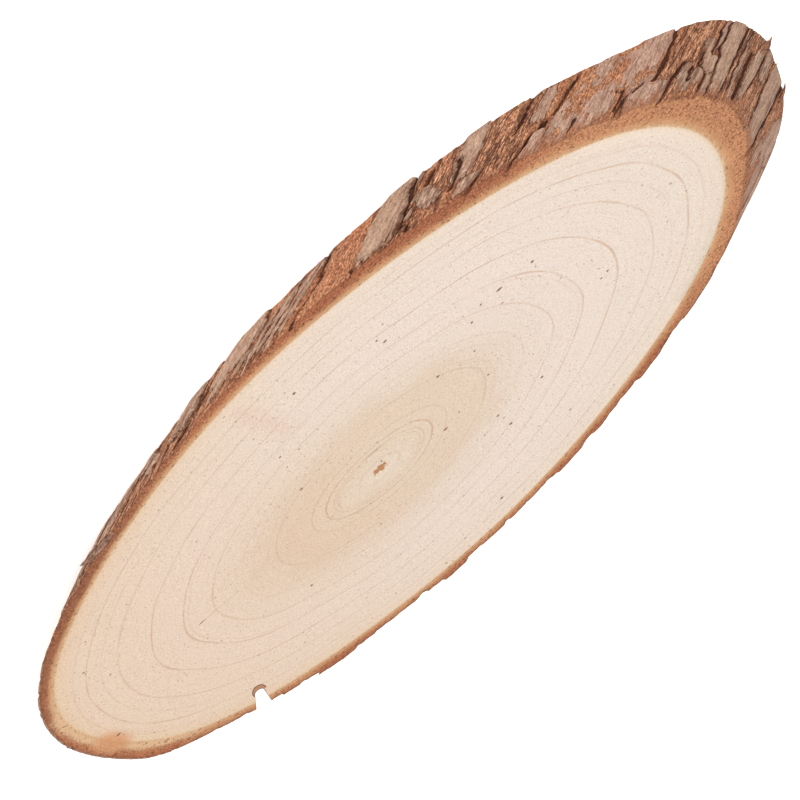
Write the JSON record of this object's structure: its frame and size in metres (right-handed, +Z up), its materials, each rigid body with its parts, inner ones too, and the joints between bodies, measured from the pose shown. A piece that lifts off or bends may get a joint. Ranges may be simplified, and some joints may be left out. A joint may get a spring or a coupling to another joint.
{
  "type": "wood slice",
  "caption": "Thin diagonal slice of a round stem with its bark on: a long oval disc with flat sawn faces, a slanted rough bark edge and a small notch in the rim.",
  "frame": {"origin": "centre of the whole slice in X and Y, on the plane of its lower sawn face", "axes": "+Z up out of the upper sawn face, +X along the oval towards the end where the upper face overhangs, +Y across it on the side of the notch"},
  "size_m": [0.2978, 0.128, 0.0125],
  "materials": {
    "sawn_wood": "bare sawn wood, pale cream with a slightly darker heart, fine growth rings and small dark specks",
    "outer_bark": "matt bark: orange-brown ground, grey-pink plates, dark cracks, sawn smooth at the two faces"
  },
  "bodies": {
    "root": {"wood": "sawn_wood", "bark": "outer_bark"}
  },
  "joints": []
}
